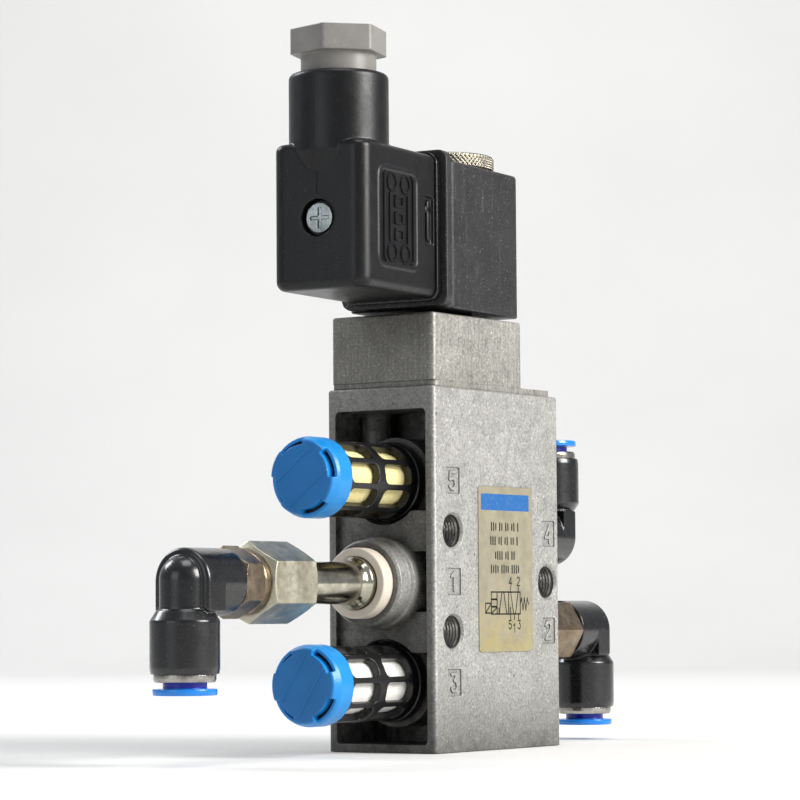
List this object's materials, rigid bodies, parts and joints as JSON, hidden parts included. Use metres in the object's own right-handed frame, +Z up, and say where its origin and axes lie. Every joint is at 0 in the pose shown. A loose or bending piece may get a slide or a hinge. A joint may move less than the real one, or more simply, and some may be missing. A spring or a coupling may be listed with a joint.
{
  "type": "solenoid valve with pneumatic mufflers",
  "caption": "Slim solenoid air valve with screw-in exhaust mufflers, swivel push-in elbows, turning coil and plug-on connector.",
  "frame": {"origin": "centre of the valve body's bottom face", "axes": "+Z up the spool axis towards the coil, -Y the face with the mufflers and the supply port, +X the label face"},
  "size_m": [0.0279, 0.1572, 0.1431],
  "materials": {
    "cast_aluminium": "die-cast, fine speckle, satin",
    "machined_aluminium": "turned, satin",
    "label_foil": "matt foil",
    "stainless_steel": "turned",
    "zinc_plated_steel": "zinc plated",
    "nickel_brass": "nickel plated",
    "knurled_nickel": "nickel plated, diamond knurl",
    "seal_rubber": "soft black",
    "copper_winding": "enamelled copper",
    "contact_brass": "tinned",
    "coil_plastic": "moulded, fine grain",
    "plug_plastic": "moulded, semi gloss",
    "gland_plastic": "moulded grey",
    "elbow_plastic": "glossy moulded",
    "cage_plastic": "moulded black",
    "cap_blue": "moulded blue",
    "release_blue": "moulded blue",
    "filter_cream": "sintered, stained",
    "filter_white": "sintered",
    "seal_ivory": "moulded ivory"
  },
  "bodies": {
    "valve": {"valve_body": "cast_aluminium", "label_plate": "label_foil", "bottom_cap": "machined_aluminium", "end_plate": "machined_aluminium", "pilot_head": "cast_aluminium", "head_screws": "zinc_plated_steel", "armature_tube": "stainless_steel", "static_orings": "seal_rubber", "coil_nut": "knurled_nickel", "port_1_seal_ring": "seal_ivory", "extension_adaptor": "zinc_plated_steel", "elbow_1_stem": "nickel_brass", "elbow_2_stem": "nickel_brass", "elbow_4_stem": "nickel_brass"},
    "spool_group": {"spool": "machined_aluminium", "spool_seals": "seal_rubber", "return_spring": "stainless_steel", "pilot_piston": "machined_aluminium", "piston_seal": "seal_rubber"},
    "armature_group": {"armature": "stainless_steel", "armature_seal": "seal_rubber", "armature_spring": "stainless_steel"},
    "override": {"manual_override": "nickel_brass", "override_oring": "seal_rubber"},
    "coil": {"coil_housing": "coil_plastic", "coil_winding": "copper_winding", "coil_yoke": "zinc_plated_steel", "coil_pins": "contact_brass", "plug_gasket": "seal_rubber", "plug_housing": "plug_plastic", "plug_screw": "zinc_plated_steel", "contact_insert": "coil_plastic", "terminals": "contact_brass", "terminal_screws": "zinc_plated_steel", "gland_nut": "gland_plastic", "gland_washer": "gland_plastic", "gland_seal": "seal_rubber"},
    "muffler_5_core": {"muffler_5_insert": "filter_cream"},
    "muffler_5_shell": {"muffler_5_body": "cage_plastic", "muffler_5_cap": "cap_blue"},
    "muffler_3_core": {"muffler_3_insert": "filter_white"},
    "muffler_3_shell": {"muffler_3_body": "cage_plastic", "muffler_3_cap": "cap_blue"},
    "elbow_1_swivel": {"elbow_1_housing": "elbow_plastic", "elbow_1_socket_ring": "nickel_brass", "elbow_1_grab_ring": "stainless_steel", "elbow_1_lip_seal": "seal_rubber"},
    "elbow_1_release": {"elbow_1_release_ring": "release_blue"},
    "elbow_2_swivel": {"elbow_2_housing": "elbow_plastic", "elbow_2_socket_ring": "nickel_brass", "elbow_2_grab_ring": "stainless_steel", "elbow_2_lip_seal": "seal_rubber"},
    "elbow_2_release": {"elbow_2_release_ring": "release_blue"},
    "elbow_4_swivel": {"elbow_4_housing": "elbow_plastic", "elbow_4_socket_ring": "nickel_brass", "elbow_4_grab_ring": "stainless_steel", "elbow_4_lip_seal": "seal_rubber"},
    "elbow_4_release": {"elbow_4_release_ring": "release_blue"}
  },
  "joints": [
    {"name": "spool_shift", "type": "slide", "parent": "valve", "child": "spool_group", "axis": [0, 0, -1], "range_m": [0, 0.003], "stiffness_N_per_m": 600, "springref_m": -0.003, "deforming": ["return_spring"]},
    {"name": "armature_lift", "type": "slide", "parent": "valve", "child": "armature_group", "axis": [0, 0, 1], "range_m": [0, 0.0012], "stiffness_N_per_m": 500, "springref_m": -0.002, "deforming": ["armature_spring"]},
    {"name": "override_turn", "type": "hinge", "parent": "valve", "child": "override", "pos_m": [0, 0.0065, 0.0794], "axis": [0, 1, 0], "range_deg": [0, 90]},
    {"name": "coil_swivel", "type": "hinge", "parent": "valve", "child": "coil", "pos_m": [0, 0, 0.1], "axis": [0, 0, 1], "continuous": true},
    {"name": "muffler_5_travel", "type": "slide", "parent": "valve", "child": "muffler_5_core", "axis": [0, -1, 0], "range_m": [0, 0.0076]},
    {"name": "muffler_5_turn", "type": "hinge", "parent": "muffler_5_core", "child": "muffler_5_shell", "pos_m": [0, -0.035, 0.0545], "axis": [0, -1, 0], "range_deg": [0, 3000]},
    {"name": "muffler_3_travel", "type": "slide", "parent": "valve", "child": "muffler_3_core", "axis": [0, -1, 0], "range_m": [0, 0.0076]},
    {"name": "muffler_3_turn", "type": "hinge", "parent": "muffler_3_core", "child": "muffler_3_shell", "pos_m": [0, -0.035, 0.0139], "axis": [0, -1, 0], "range_deg": [0, 3000]},
    {"name": "elbow_1_turn", "type": "hinge", "parent": "valve", "child": "elbow_1_swivel", "pos_m": [0, -0.0884, 0.0339], "axis": [0, -1, 0], "continuous": true},
    {"name": "elbow_1_press", "type": "slide", "parent": "elbow_1_swivel", "child": "elbow_1_release", "axis": [0, 0, 1], "range_m": [0, 0.0011], "stiffness_N_per_m": 400, "springref_m": -0.001},
    {"name": "elbow_2_turn", "type": "hinge", "parent": "valve", "child": "elbow_2_swivel", "pos_m": [0, 0.0558, 0.02405], "axis": [0, 1, 0], "continuous": true},
    {"name": "elbow_2_press", "type": "slide", "parent": "elbow_2_swivel", "child": "elbow_2_release", "axis": [0, 0, 1], "range_m": [0, 0.0011], "stiffness_N_per_m": 400, "springref_m": -0.001},
    {"name": "elbow_4_turn", "type": "hinge", "parent": "valve", "child": "elbow_4_swivel", "pos_m": [0, 0.0415, 0.04435], "axis": [0, 1, 0], "range_deg": [-130, 130]},
    {"name": "elbow_4_press", "type": "slide", "parent": "elbow_4_swivel", "child": "elbow_4_release", "axis": [0, 0, -1], "range_m": [0, 0.0011], "stiffness_N_per_m": 400, "springref_m": -0.001}
  ],
  "couplings": [
    {"joint": "muffler_5_travel", "follows": "muffler_5_turn", "m_per_rad": 0.00014435},
    {"joint": "muffler_3_travel", "follows": "muffler_3_turn", "m_per_rad": 0.00014435}
  ]
}
